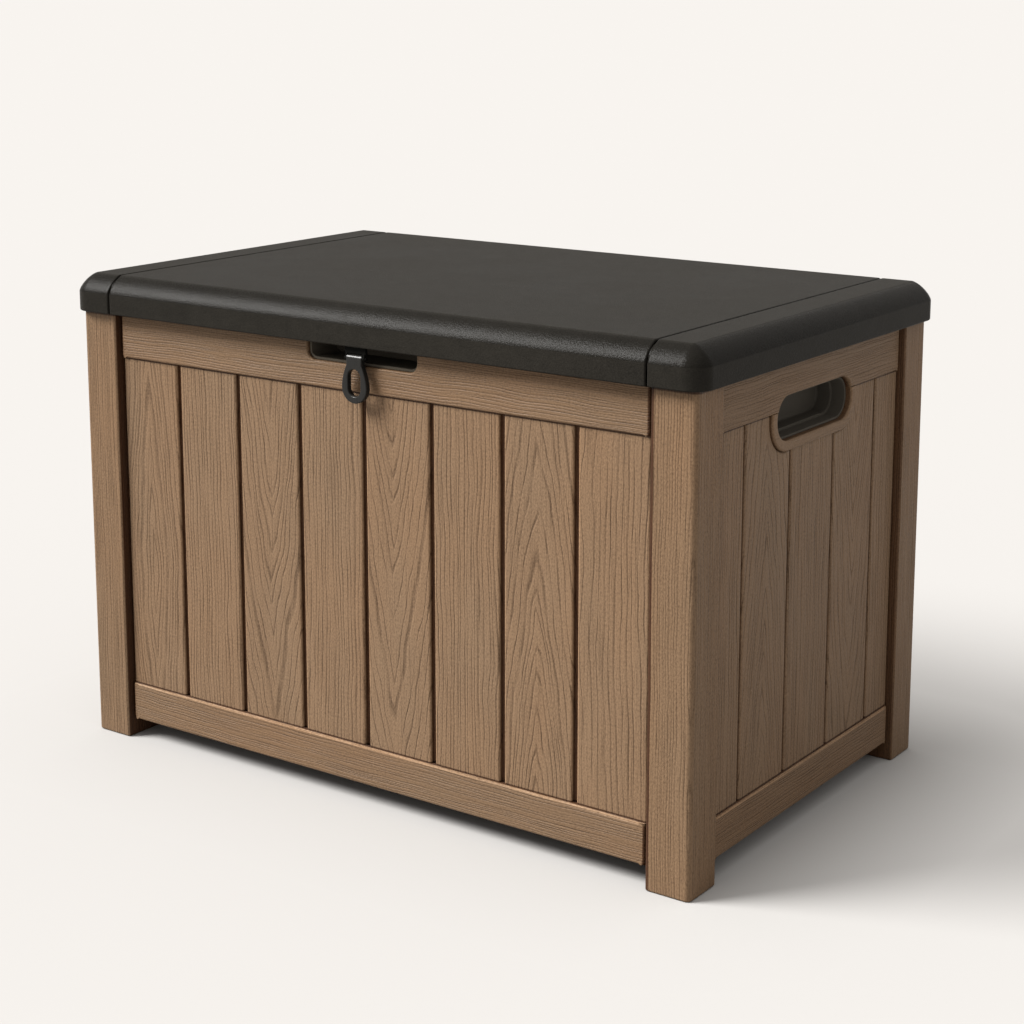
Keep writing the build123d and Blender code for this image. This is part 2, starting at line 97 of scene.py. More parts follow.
def arc(centre, radius, start, end, steps):
    """Points on an arc, angles in degrees."""
    out = []
    for n in range(steps + 1):
        a = math.radians(start + (end - start) * n / steps)
        out.append((centre[0] + radius * math.cos(a), centre[1] + radius * math.sin(a)))
    return out


def rounded_rect(x0, x1, z0, z1, radius, steps=8):
    """A rounded rectangle, anticlockwise from its lower left corner."""
    r = radius
    return (arc((x0 + r, z0 + r), r, 180, 270, steps) + arc((x1 - r, z0 + r), r, 270, 360, steps)
            + arc((x1 - r, z1 - r), r, 0, 90, steps) + arc((x0 + r, z1 - r), r, 90, 180, steps))


def inset(points, amount, share=None):
    """The anticlockwise outline moved inwards, each point by its own share of the amount."""
    out = []
    for i, (x, y) in enumerate(points):
        before, after = points[i - 1], points[(i + 1) % len(points)]
        ax, ay, bx, by = x - before[0], y - before[1], after[0] - x, after[1] - y
        la, lb = math.hypot(ax, ay), math.hypot(bx, by)
        n1, n2 = (-ay / la, ax / la), (-by / lb, bx / lb)
        k = 1 + n1[0] * n2[0] + n1[1] * n2[1]
        s = amount * (share[i] if share else 1.0)
        out.append((x + s * (n1[0] + n2[0]) / k, y + s * (n1[1] + n2[1]) / k))
    return out


def face_round(face, radius, steps=3, away=1):
    """(depth, inset) pairs that round a face's edge; away is the direction from the face into the part."""
    out = []
    for n in range(steps + 1):
        a = math.radians(90 * n / steps)
        out.append((face + away * radius * (1 - math.sin(a)), radius * (1 - math.cos(a))))
    return out


def rounded_bar(outline, half, radius, steps, share=None):
    """Layers of a bar from -half to half, with the edges of both ends rounded."""
    ends = face_round(-half, radius, steps)[::-1] + face_round(half, radius, steps, -1)
    return [(x, inset(outline, d, share)) for x, d in ends]


# ---- meshes ----

class Shell:
    """Vertices and faces of one piece, in millimetres, before it is turned to its wall."""

    def __init__(self):
        self.verts, self.faces = [], []

    def loft(self, rings, caps=(True, True)):
        """Joins closed rings of equally many points, and closes the two ends."""
        base = len(self.verts)
        count = len(rings[0])
        for ring in rings:
            self.verts.extend(ring)
        for k in range(len(rings) - 1):
            a, b = base + k * count, base + (k + 1) * count
            for i in range(count):
                j = (i + 1) % count
                self.faces.append((a + i, a + j, b + j, b + i))
        if caps[0]:
            self.faces.append(tuple(range(base, base + count)))
        if caps[1]:
            self.faces.append(tuple(range(len(self.verts) - count, len(self.verts))))
        return self

    def prism_y(self, layers):
        """Closed outlines in X and Z, each at its depth Y."""
        return self.loft([[(x, y, z) for x, z in points] for y, points in layers])

    def prism_x(self, layers):
        return self.loft([[(x, y, z) for y, z in points] for x, points in layers])

    def prism_z(self, layers):
        return self.loft([[(x, y, z) for x, y in points] for z, points in layers])

    def holed_y(self, outer, hole, face, back, radius):
        """A flat plate with one hole, both with rounded edges."""
        order = face_round(face, radius)[::-1] + face_round(back, radius, away=-1)
        outers = [[(x, y, z) for x, z in inset(outer, d)] for y, d in order]
        holes = [[(x, y, z) for x, z in inset(hole, -d)] for y, d in order]
        self.loft(outers, (False, False))
        self.loft(holes, (False, False))
        for k in (0, -1):
            base = len(self.verts)
            loops = [outers[k], holes[k]]
            self.verts.extend(loops[0] + loops[1])
            for tri in geometry.tessellate_polygon([[Vector(p) for p in loop] for loop in loops]):
                self.faces.append(tuple(base + i for i in tri))
        return self

    def mesh(self, name):
        """A clean mesh: doubled points merged, empty faces gone, normals outwards."""
        bm = bmesh.new()
        verts = [bm.verts.new(v) for v in self.verts]
        for f in self.faces:
            if len(set(f)) == len(f):
                bm.faces.new([verts[i] for i in f])
        bmesh.ops.remove_doubles(bm, verts=bm.verts, dist=0.004)
        bmesh.ops.dissolve_degenerate(bm, edges=bm.edges, dist=0.002)
        bmesh.ops.recalc_face_normals(bm, faces=bm.faces)
        data = bpy.data.meshes.new(name)
        bm.to_mesh(data)
        bm.free()
        return data


def add_vector(data, name, values):
    attribute = data.attributes.new(name, "FLOAT_VECTOR", "POINT")
    flat = [c for value in values for c in value]
    attribute.data.foreach_set("vector", flat)


def between(value, stops):
    """The level at a place on a line drawn through (place, level) stops."""
    for (a, low), (b, high) in zip(stops[:-1], stops[1:]):
        if value <= b:
            return low + (high - low) * max(0.0, value - a) / (b - a)
    return stops[-1][1]


class Cut:
    """How one piece was cut from its log: its axes, the heart's place, the figure and the painted light and
    shade by place.
    """

    def __init__(self, axes, heart, figure, painted_shading):
        self.axes, self.heart, self.figure, self.painted_shading = axes, heart, figure, painted_shading

    def mark(self, data):
        add_vector(data, "grain", [self.axes(v.co) for v in data.vertices])
        add_vector(data, "heart", [self.heart] * len(data.vertices))
        add_vector(data, "figure", [self.figure] * len(data.vertices))
        # painted highlights and painted shade for each point, read by the wood material
        painted_shading = data.attributes.new("painted_shading", "FLOAT", "POINT")
        painted_shading.data.foreach_set("value", [self.painted_shading(v.co) for v in data.vertices])


def finish_piece(name, data, nodes, body, material, degrees=0.0, grain=None, crease=38.0):
    """Puts a mesh in place: grain attributes, turn, scale, shading, material and body."""
    if grain:
        grain.mark(data)
    data.transform(Matrix.Rotation(math.radians(degrees), 4, "Z") @ Matrix.Scale(MM, 4))
    data.polygons.foreach_set("use_smooth", [True] * len(data.polygons))
    data.set_sharp_from_angle(angle=math.radians(crease))
    sharp = data.attributes.get("sharp_edge") or data.attributes.new("sharp_edge", "BOOLEAN", "EDGE")
    for polygon in data.polygons:
        if polygon.loop_total > 4:
            for loop in polygon.loop_indices:
                sharp.data[data.loops[loop].edge_index].value = True
    piece = bpy.data.objects.new(name, data)
    bpy.context.scene.collection.objects.link(piece)
    data.materials.append(material)
    shade = piece.modifiers.new("normals", "WEIGHTED_NORMAL")
    shade.keep_sharp = True
    shade.weight = 80
    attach(piece, body)
    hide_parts(*nodes)


def combined(data, other, operation):
    """A mesh after a boolean with another mesh."""
    pair = [bpy.data.objects.new("tool", m) for m in (data, other)]
    for o in pair:
        bpy.context.scene.collection.objects.link(o)
    step = pair[0].modifiers.new("cut", "BOOLEAN")
    step.object, step.operation, step.solver = pair[1], operation, "EXACT"
    depsgraph = bpy.context.evaluated_depsgraph_get()
    result = bpy.data.meshes.new_from_object(pair[0].evaluated_get(depsgraph))
    for o in pair:
        bpy.data.objects.remove(o)
    return result


# ---- materials ----

class Graph:
    """A short way to write a node material."""

    def __init__(self, name):
        self.material = bpy.data.materials.new(name)
        self.material.use_nodes = True
        self.tree = self.material.node_tree
        self.tree.nodes.clear()

    def put(self, socket, value):
        if isinstance(value, bpy.types.NodeSocket):
            self.tree.links.new(value, socket)
        else:
            socket.default_value = value

    def add(self, kind, inputs=(), out=0, **settings):
        node = self.tree.nodes.new(kind)
        for key, value in settings.items():
            setattr(node, key, value)
        for key, value in dict(inputs).items():
            self.put(node.inputs[key], value)
        return node.outputs[out]

    def math(self, operation, *values, clamp=False):
        return self.add("ShaderNodeMath", enumerate(values), operation=operation, use_clamp=clamp)

    def plus(self, total, *others, clamp=False):
        for other in others[:-1]:
            total = self.math("ADD", total, other)
        return self.math("ADD", total, others[-1], clamp=clamp)

    def minus(self, a, b):
        return self.math("SUBTRACT", a, b)

    def times(self, a, b):
        return self.math("MULTIPLY", a, b)

    def over(self, a, b):
        return self.math("DIVIDE", a, b)

    def split(self, vector):
        node = self.tree.nodes.new("ShaderNodeSeparateXYZ")
        self.put(node.inputs[0], vector)
        return node.outputs[0], node.outputs[1], node.outputs[2]

    def join(self, x, y, z):
        return self.add("ShaderNodeCombineXYZ", {0: x, 1: y, 2: z})

    def attribute(self, name):
        return self.add("ShaderNodeAttribute", out="Vector", attribute_name=name)

    def noise(self, vector, scale=1.0, detail=2.0, rough=0.5):
        given = {"Vector": vector, "Scale": scale, "Detail": detail, "Roughness": rough}
        return self.add("ShaderNodeTexNoise", given)

    def around(self, noise, size):
        """A noise from 0 to 1 turned into a shift of about plus or minus half its size."""
        return self.times(self.minus(noise, 0.5), size)

    def ramp(self, value, stops):
        node = self.tree.nodes.new("ShaderNodeValToRGB")
        points = node.color_ramp.elements
        while len(points) < len(stops):
            points.new(0.5)
        for point, (place, level) in zip(points, stops):
            point.position = place
            point.color = (level, level, level, 1) if isinstance(level, (int, float)) else (*level, 1)
        self.put(node.inputs[0], value)
        return node.outputs[0]

    def mix(self, factor, a, b, blend="MIX"):
        node = self.tree.nodes.new("ShaderNodeMix")
        node.data_type, node.blend_type = "RGBA", blend
        node.clamp_factor = True
        for key, value in ((0, factor), (6, a), (7, b)):
            if isinstance(value, tuple):
                value = (*value, 1.0)
            self.put(node.inputs[key], value)
        return node.outputs[2]

    def bump(self, height, distance, strength):
        return self.add("ShaderNodeBump", {"Height": height, "Distance": distance, "Strength": strength})

    def surface(self, colour, rough, normal, **sockets):
        node = self.tree.nodes.new("ShaderNodeBsdfPrincipled")
        self.put(node.inputs["Base Color"], colour)
        self.put(node.inputs["Roughness"], rough)
        self.put(node.inputs["Normal"], normal)
        for key, value in sockets.items():
            node.inputs[key.replace("_", " ")].default_value = value
        out = self.tree.nodes.new("ShaderNodeOutputMaterial")
        self.tree.links.new(node.outputs[0], out.inputs[0])
        return self.material


def wood_resin(name, light, dark, shade_lines):
    """Resin moulded as wood: engraved growth rings cut lengthwise, fibres, stipple and slow colour drift.

    The mesh says how each board was cut: "grain" is the place across, into and along the board, "heart"
    the place of the log's heart, "figure" the slope of the cut, the ring pitch and a seed, and the fourth
    attribute the light and shade painted on by place: painted highlights on the edges, painted shade down
    the grooves. The lines are the heights at which a thin line of painted shade sits, each with the half of
    its width.
    """
    g = Graph(name)
    across, deep, along = g.split(g.attribute("grain"))
    heart_u, heart_v, heart_w = g.split(g.attribute("heart"))
    slope, pitch, seed = g.split(g.attribute("figure"))
    # the painted highlights and painted shade that each point carries
    painted_shading = g.add("ShaderNodeAttribute", out="Fac", attribute_name="painted_shading")
    shift = g.times(seed, 7.31)

    def field(wide, long, detail=2.0, rough=0.5, offset=0.0):
        u = g.plus(g.over(across, wide), shift)
        v = g.plus(g.over(deep, wide), offset)
        w = g.plus(g.over(along, long), shift)
        return g.noise(g.join(u, v, w), 1.0, detail, rough)

    # lines that lie closer together than this are thinner, fainter and straighter
    open_pitch = 4.6
    close = g.math("MINIMUM", g.over(pitch, open_pitch), 1.0)

    def rings():
        """The distance in millimetres from the nearest growth ring."""
        sway = g.times(g.around(field(46.0, 130.0), 17.0), close)
        ripple = g.around(field(9.0, 40.0, offset=3.0), 1.3)
        lean = g.around(field(24.0, 90.0, offset=9.0), 60.0)
        du = g.math("ABSOLUTE", g.plus(g.minus(across, heart_u), sway, ripple))
        dw = g.times(slope, g.plus(g.minus(along, heart_w), lean))
        dv = g.minus(deep, heart_v)
        depth = g.math("SQRT", g.plus(g.times(dv, dv), g.times(dw, dw)))
        bend = 1.22                     # 2 makes round arches, 1 pointed ones
        radius = g.plus(g.math("POWER", du, bend), g.math("POWER", depth, bend))
        radius = g.math("POWER", radius, 1.0 / bend)
        uneven = g.noise(g.join(g.over(radius, 9.0), shift, 0.0), 1.0, 1.0)
        count = g.over(g.plus(radius, g.around(uneven, 11.0)), pitch)
        # the first rings crowd together more and more away from the heart
        early, crowding = 6.0, 0.05
        first = g.math("MINIMUM", count, early)
        more = g.times(g.math("LESS_THAN", count, early), g.times(first, 2 * crowding))
        crowd = g.plus(1.0, more)
        count = g.plus(count, g.times(g.times(first, first), crowding))
        off = g.math("ABSOLUTE", g.minus(g.math("FRACT", count), 0.5))
        return g.over(g.times(off, pitch), crowd)

    off = g.over(rings(), close)
    strong = g.ramp(field(8.0, 60.0, offset=5.0), ((0.34, 0.30), (0.56, 1.0)))
    strong = g.times(strong, g.plus(0.35, g.times(close, 0.65)))
    line = g.times(g.ramp(off, ((0.15, 1.0), (0.68, 0.0))), strong)
    groove = g.times(g.ramp(off, ((0.15, 1.0), (0.60, 0.50), (1.0, 0.0))), strong)
    fibre = field(1.6, 60.0, 3.0, 0.6, 11.0)
    hair = g.ramp(field(2.0, 90.0, 2.0, 0.5, 14.0), ((0.58, 0.0), (0.66, 1.0)))
    stipple = field(1.5, 2.4, 2.0, 0.6, 19.0)
    drift = field(30.0, 200.0, 2.0, 0.5, 23.0)

    level = g.plus(g.times(line, 0.50), g.times(hair, 0.20), g.around(fibre, 0.50), g.around(stipple, 1.60),
                   g.around(drift, 0.26), 0.16, clamp=True)
    colour = g.mix(level, light, dark)
    warm = g.ramp(field(70.0, 260.0, offset=31.0), ((0.3, (0.97, 1.0, 1.02)), (0.7, (1.03, 1.0, 0.96))))
    colour = g.mix(1.0, colour, warm, "MULTIPLY")
    # painted shade and highlight: levels below one darken to a red-brown painted shade, levels above one
    # lighten as a painted highlight
    painted_shade_and_highlight = g.ramp(g.times(painted_shading, 0.5), ((0.0, (0.14, 0.06, 0.03)), (0.25, (0.52, 0.38, 0.28)),
                                        (0.5, (1.0, 1.0, 1.0)), (1.0, (2.0, 1.96, 1.9))))
    colour = g.mix(1.0, colour, painted_shade_and_highlight, "MULTIPLY")
    height = g.split(g.add("ShaderNodeTexCoord", out="Object"))[2]
    # painted shade: a thin dark line at each given height
    for place, half in shade_lines:
        away = g.over(g.math("ABSOLUTE", g.minus(height, place * MM)), half * MM)
        painted_shade_line = g.ramp(g.times(away, 0.5), ((0.25, (0.26, 0.19, 0.14)), (0.6, (1.0, 1.0, 1.0))))
        colour = g.mix(1.0, colour, painted_shade_line, "MULTIPLY")
    relief = g.plus(g.times(groove, -1.0), g.times(hair, -0.28), g.around(fibre, 0.6), g.around(stipple, 0.5))
    normal = g.bump(relief, 0.46 * MM, 1.0)
    rough = g.plus(g.times(line, 0.12), g.times(fibre, 0.2), 0.45)
    return g.surface(colour, rough, normal, Specular_IOR_Level=0.16)


def moulded_plastic(name, dark, light, grain_mm, depth, rough, specular, rounding=None):
    """Moulded plastic with a leather-like stipple, a fine dust of lighter and darker specks and an uneven
    sheen.

    Rounding gives a painted shade and a roughness for the rounding between a top and its sides, and for the
    top itself; both are painted darker by the tilt of the surface.
    """
    g = Graph(name)
    place = g.add("ShaderNodeTexCoord", out="Object")
    spread = {"Vector": place, "Scale": 1000.0 / grain_mm, "Randomness": 1.0}
    cells = g.add("ShaderNodeTexVoronoi", spread, feature="SMOOTH_F1")
    fine = g.noise(place, 1500.0 / grain_mm, 2.0, 0.6)
    broad = g.noise(place, 9.0, 3.0, 0.55)
    blotch = g.noise(place, 60.0, 2.0, 0.5)
    height = g.plus(g.times(cells, 0.7), g.times(fine, 0.8))
    normal = g.bump(height, depth * MM, 0.85)
    dust = g.noise(place, 700.0 / grain_mm, 1.0, 0.5)
    level = g.plus(g.around(broad, 0.5), g.around(blotch, 0.35), g.around(fine, 1.1), g.around(dust, 0.3),
                   0.5, clamp=True)
    colour = g.mix(level, dark, light)
    if rounding:
        (painted_shading, smooth), (top_painted_shade, top_rough) = rounding
        # painted shade: the rounding and the top are darkened by the tilt of their normal
        tilt = g.split(g.add("ShaderNodeTexCoord", out="Normal"))[2]
        shade = g.ramp(tilt, ((0.10, 1.0), (0.30, painted_shading), (0.86, painted_shading), (0.985, top_painted_shade)))
        colour = g.mix(1.0, colour, shade, "MULTIPLY")
        rough = g.ramp(tilt, ((0.10, rough), (0.30, smooth), (0.90, smooth), (0.985, top_rough)))
    roughness = g.plus(g.around(fine, 0.3), g.around(broad, 0.16), rough, clamp=True)
    return g.surface(colour, roughness, normal, Specular_IOR_Level=specular)


def coated_metal(name, dark, light, metallic, rough, specular=0.5):
    """Painted or plated steel: a fine orange peel, faint rubbing and an uneven gloss."""
    g = Graph(name)
    place = g.add("ShaderNodeTexCoord", out="Object")
    peel = g.noise(place, 900.0, 2.0, 0.5)
    rub = g.noise(g.add("ShaderNodeMapping", {"Vector": place, "Scale": (900.0, 900.0, 60.0)}), 1.0, 3.0, 0.6)
    broad = g.noise(place, 45.0, 2.0, 0.5)
    level = g.plus(g.around(rub, 0.9), g.around(broad, 0.6), 0.5, clamp=True)
    colour = g.mix(level, dark, light)
    normal = g.bump(g.plus(peel, g.times(rub, 0.4)), 0.05 * MM, 0.4)
    roughness = g.plus(g.around(rub, 0.18), g.around(peel, 0.1), rough, clamp=True)
    return g.surface(colour, roughness, normal, Metallic=metallic, Specular_IOR_Level=specular)


# the thin lines are painted shade under the lid's lower edge on the frame, and on the boards beside the top
# and bottom rails
FRAME_RESIN = wood_resin("frame_resin", (0.133, 0.0825, 0.0470), (0.044, 0.0235, 0.0112),
                         [(LID_LOW - 1.2, 1.8)])
BOARD_RESIN = wood_resin("board_resin", (0.146, 0.0920, 0.0540), (0.045, 0.0250, 0.0125),
                         [(TOP_RAIL[0] - 0.4, 1.1), (BOTTOM_RAIL[1] + 0.4, 1.0)])
# the lid's rounding is painted darker as shade, and its top a little
LID_PLASTIC = moulded_plastic("lid_plastic", (0.0062, 0.0057, 0.0048), (0.0200, 0.0181, 0.0150),
                              1.4, 0.24, 0.36, 0.027, rounding=((0.55, 0.29), (0.88, 0.56)))
LINER_PLASTIC = moulded_plastic("liner_plastic", (0.014, 0.013, 0.012), (0.028, 0.026, 0.023),
                                2.0, 0.12, 0.6, 0.25)
CUP_PLASTIC = moulded_plastic("cup_plastic", (0.047, 0.042, 0.035), (0.063, 0.056, 0.046),
                              1.0, 0.03, 0.6, 0.06)
# painted light: a paler copy of the cup plastic, for the shaded finger notch
NOTCH_PAINTED_LIGHT_PLASTIC = moulded_plastic("notch_painted_light_plastic", (0.060, 0.052, 0.040), (0.076, 0.065, 0.050),
                                1.0, 0.03, 0.6, 0.06)
HASP_METAL = coated_metal("hasp_metal", (0.0070, 0.0068, 0.0062), (0.0125, 0.0121, 0.0112), 0.0, 0.30, 0.20)
# painted shade: a darker, duller copy of the hasp's metal, for the bracket under the lid and the pin
ARM_PAINTED_SHADE_METAL = coated_metal("arm_painted_shade_metal", (0.0022, 0.0021, 0.0018), (0.0042, 0.0040, 0.0035), 0.0, 0.75, 0.03)
HINGE_METAL = coated_metal("hinge_metal", (0.030, 0.029, 0.028), (0.060, 0.058, 0.055), 0.6, 0.4)
STEEL = coated_metal("fastener_steel", (0.22, 0.22, 0.21), (0.42, 0.41, 0.39), 1.0, 0.32)


def floor_resin():
    """The loose floor: plain resin in the frame's brown, faintly streaked along its length."""
    g = Graph("floor_resin")
    place = g.add("ShaderNodeTexCoord", out="Object")
    stretched = g.add("ShaderNodeMapping", {"Vector": place, "Scale": (12.0, 260.0, 260.0)})
    streak = g.noise(stretched, 1.0, 3.0, 0.55)
    stipple = g.noise(place, 900.0, 2.0, 0.6)
    level = g.plus(g.around(streak, 1.0), g.around(stipple, 0.4), 0.5, clamp=True)
    colour = g.mix(level, (0.095, 0.056, 0.034), (0.15, 0.092, 0.056))
    normal = g.bump(stipple, 0.1 * MM, 0.5)
    rough = g.plus(g.around(stipple, 0.2), 0.6)
    return g.surface(colour, rough, normal, Specular_IOR_Level=0.3)


# ---- posts ----

def post_plan(sx, sy):
    """The post's section: a broad round between its two outer faces, and small rounds on the other edges."""
    x = sorted((sx * SPAN_X, sx * HALF_X))
    y = sorted((sy * SPAN_Y, sy * HALF_Y))
    plan = []
    for cx, cy, start in ((0, 0, 180), (1, 0, 270), (1, 1, 0), (0, 1, 90)):
        outer_x, outer_y = x[cx] == sx * HALF_X, y[cy] == sy * HALF_Y
        r = POST_ROUND if outer_x and outer_y else POST_INNER_ROUND
        centre = (x[cx] + (r if cx == 0 else -r), y[cy] + (r if cy == 0 else -r))
        corner = arc(centre, r, start, start + 90, 5)
        if outer_y and not outer_x:
            # points on the outer face for the painted shade line and the painted highlight beside it
            last = cx == cy
            at_x, at_y = corner[-1] if last else corner[0]
            line = [(at_x + sx * step, at_y) for step in POST_PAINTED_LINE]
            corner = corner + line if last else line[::-1] + corner
        plan += corner
    return plan


def post_mesh(sx, sy):
    """One corner post at the given sides, with soft upright edges and softened feet."""
    plan = post_plan(sx, sy)
    layers = [(z, inset(plan, d)) for z, d in face_round(0.0, FOOT_ROUND, 4)[::-1]]
    layers += [(z, inset(plan, d)) for z, d in face_round(BODY_TOP, TOP_ROUND, 2, -1)]
    return Shell().prism_z(layers).mesh("post")


def post_painted_shading(p):
    """Painted shade beside the walls, with a painted highlight on the edge; the right posts show a thin dark
    line of painted shade to the camera.
    """
    r = POST_INNER_ROUND
    front_painted_shading = ((0.0, 0.28), (0.3, 0.36), (0.45, 1.45), (r, 1.15))
    if p[0] > 0:
        line_end, painted_edge, plain = (r + step for step in POST_PAINTED_LINE)
        front_painted_shading = ((0.0, 0.22), (line_end, 0.22), (painted_edge, 1.42), (plain, 1.15))
    along_front = between(abs(p[0]) - SPAN_X, front_painted_shading)
    along_side = between(abs(p[1]) - SPAN_Y, ((0.0, 0.60), (0.3, 0.66), (1.5, 0.90), (r, 1.05)))
    return min(along_front, along_side)


def make_posts():
    for along, sy in (("front", -1), ("back", 1)):
        for side, sx in (("left", -1), ("right", 1)):
            node = f"post_{along}_{side}"
            middle = (sx * (HALF_X - POST / 2), sy * (HALF_Y - POST / 2))
            seed = 3.0 + sx * 0.7 + sy * 1.9

            def axes(p, m=middle):
                return (p[0] - m[0], p[1] - m[1], p[2])

            # the log's heart lies inwards of the post, so that both outer faces show upright lines
            heart = (-sx * 31.0, -sy * 36.0, 220.0)
            finish_piece(node + "_resin", post_mesh(sx, sy), [node], "box", FRAME_RESIN,
                         grain=Cut(axes, heart, (0.006, 2.5, seed), post_painted_shading))


# ---- rails ----

def hole_side(grow, start_z, end, steps=8):
    """The right-hand upper arc of the hand hole's outline, from a height up to an angle."""
    r = HOLE_ROUND + grow
    centre = (HOLE_HALF - HOLE_ROUND, HOLE[1] - HOLE_ROUND)
    return arc(centre, r, math.degrees(math.asin((start_z - centre[1]) / r)), end, steps)


def rail_outline(span, height, cut):
    """The rail's elevation and each point's share of an inset; cut is "hole", "notch" or nothing."""
    low, high = height
    r = RAIL_ROUND + 0.4
    points = arc((-span + r, low + r), r, 180, 270, 2)
    share = [1.0] * 3
    if cut == "hole":
        hole = hole_side(0.0, low, 90)
        hole = [(-x, z) for x, z in hole] + hole[::-1]
        points += hole
        share += [0.6] * len(hole)
    points += arc((span - r, low + r), r, 270, 360, 2) + arc((span - r, high - r), r, 0, 90, 2)
    share += [1.0] * 6
    if cut == "notch":
        w, bottom, nr = NOTCH_HALF, NOTCH_BOTTOM, NOTCH_ROUND
        notch = [(w, high)] + arc((w - nr, bottom + nr), nr, 0, -90, 6)
        notch += arc((-w + nr, bottom + nr), nr, 270, 180, 6) + [(-w, high)]
        points += notch
        share += [0.6] * len(notch)
    points += arc((-span + r, high - r), r, 90, 180, 2)
    share += [1.0] * 3
    return points, share


def rail_mesh(out, span, height, cut):
    """A rail whose face stops short of the posts, in a thin dark reveal."""
    face = -(out - RAIL_SETBACK)
    back = face + RAIL_THICK
    points, share = rail_outline(span, height, cut)
    short = [(x + (REVEAL if x < -span + 3 else -REVEAL if x > span - 3 else 0), z) for x, z in points]
    layers = [(back, inset(points, 0.5, share)), (back - 0.5, points)]
    layers += [(face + REVEAL_DEEP, points), (face + REVEAL_DEEP, short)]
    layers += [(y, inset(short, d, share)) for y, d in face_round(face, RAIL_ROUND, 5)]
    return Shell().prism_y(layers).mesh("rail")


# painted highlight on the face's edges and painted shade into the reveal, from the face inwards
RAIL_PAINTED_SHADING = ((0.0, 0.97), (0.3, 1.20), (1.4, 1.22), (RAIL_ROUND, 0.85), (REVEAL_DEEP, 0.16))
LEDGE_PAINTED_HIGHLIGHT = 1.55                    # painted highlight on the upper edge of a bottom rail
# painted shade at the rail's ends beside the posts
RAIL_END_PAINTED_SHADE = 0.35
WALLS = (("front", HALF_Y, SPAN_X, 0), ("back", HALF_Y, SPAN_X, 180),
         ("right", HALF_X, SPAN_Y, 90), ("left", HALF_X, SPAN_Y, -90))


def make_rails():
    for seed, (wall, out, span, degrees) in enumerate(WALLS, 1):
        for level, height in (("top", TOP_RAIL), ("bottom", BOTTOM_RAIL)):
            node = f"{level}_rail_{wall}"
            cut = None
            if level == "top":
                cut = {"front": "notch", "right": "hole", "left": "hole"}.get(wall)
            middle = sum(height) / 2

            def axes(p, m=middle, face=-(out - RAIL_SETBACK)):
                return (p[2] - m, p[1] - face, p[0])

            def painted_shading(p, face=-(out - RAIL_SETBACK), span=span, ledge=BOTTOM_RAIL[1] - RAIL_ROUND + 0.2):
                painted_edge = between(p[1] - face, RAIL_PAINTED_SHADING)
                # painted highlight along the bottom rail's upper ledge
                if ledge < p[2] < BOTTOM_RAIL[1] + 1.0 and abs(p[0]) < span - REVEAL - 1.0:
                    return LEDGE_PAINTED_HIGHLIGHT
                if abs(p[0]) > span - REVEAL - RAIL_ROUND + 0.3:
                    painted_edge *= RAIL_END_PAINTED_SHADE
                # painted shade: the reveal at the ends and the walls of the notch and the hole are darkened,
                # and the rail's deeper faces a little
                inside = abs(p[0]) > span - REVEAL - 0.5 or abs(p[0]) < HOLE_HALF + 1.0
                return painted_edge if p[1] - face < 2.0 or inside else 0.8

            heart = (-40.0 if level == "top" else 33.0, 20.0, 60.0 * seed - 150.0)
            figure = (0.03, 2.5, seed + (8.5 if level == "top" else 8.0))
            finish_piece(node + "_resin", rail_mesh(out, span, height, cut), [node], "box",
                         FRAME_RESIN, degrees, Cut(axes, heart, figure, painted_shading))


# ---- boards ----

def board_mesh(out, left, right, cut):
    """One board: face edges rounded, half a groove down each side; the rim may cut a corner or the top."""
    face = -(out - BOARD_SETBACK)
    back = face + BOARD_THICK
    gap, span = (GAP_FRONT, SPAN_X) if out == HALF_Y else (GAP_SIDE, SPAN_Y)
    low, high = BOTTOM_RAIL[1], TOP_RAIL[0]
    grow = RIM + RIM_GAP
    cut_low = HOLE[0] - grow
    edge, r = HOLE_HALF + grow, HOLE_ROUND + grow
    if cut == "top":
        outline = [(left, low), (right, low), (right, cut_low), (left, cut_low)]
        ends = (low, cut_low)
    elif cut in ("left", "right"):
        # the rim bites the corner nearest the middle of the wall
        near = right if cut == "right" else left
        sign = 1 if cut == "right" else -1
        bite = [(near, cut_low)] + arc((-sign * (edge - r), cut_low + r), r, 270, 270 - sign * 90, 8)
        bite += [(-sign * edge, high)]
        if cut == "right":
            outline = [(left, low), (right, low)] + bite + [(left, high)]
        else:
            outline = [(left, low), (right, low), (right, high)] + bite[::-1]
        ends = (low, high)
    else:
        outline = [(left, low), (right, low), (right, high), (left, high)]
        ends = (low, high)

    def held(points):
        return [(x, old[1] if old[1] in ends else z) for (x, z), old in zip(points, outline)]

    def narrowed(points):
        at_left, at_right = (gap + GAP_POST * (abs(end) == span) for end in (left, right))
        return [(min(max(x, left + at_left), right - at_right), z) for x, z in points]

    layers = [(back, outline), (face + GROOVE_DEEP, outline), (face + GROOVE_DEEP, narrowed(outline))]
    layers += [(y, held(inset(narrowed(outline), d))) for y, d in face_round(face, BOARD_ROUND, 5)]
    return Shell().prism_y(layers).mesh("board")


# painted highlight on the face's edges and painted shade down the grooves, from the face inwards, for the
# long walls and the short ones; the short walls get less painted highlight and deeper painted shade
BOARD_PAINTED_SHADING = {
    HALF_Y: ((0.0, 1.02), (0.25, 1.45), (1.2, 1.4), (BOARD_ROUND, 0.75), (GROOVE_DEEP, 0.34), (5.0, 0.5)),
    HALF_X: ((0.0, 1.02), (0.25, 1.08), (1.2, 0.9), (BOARD_ROUND, 0.5), (GROOVE_DEEP, 0.2), (5.0, 0.3)),
}

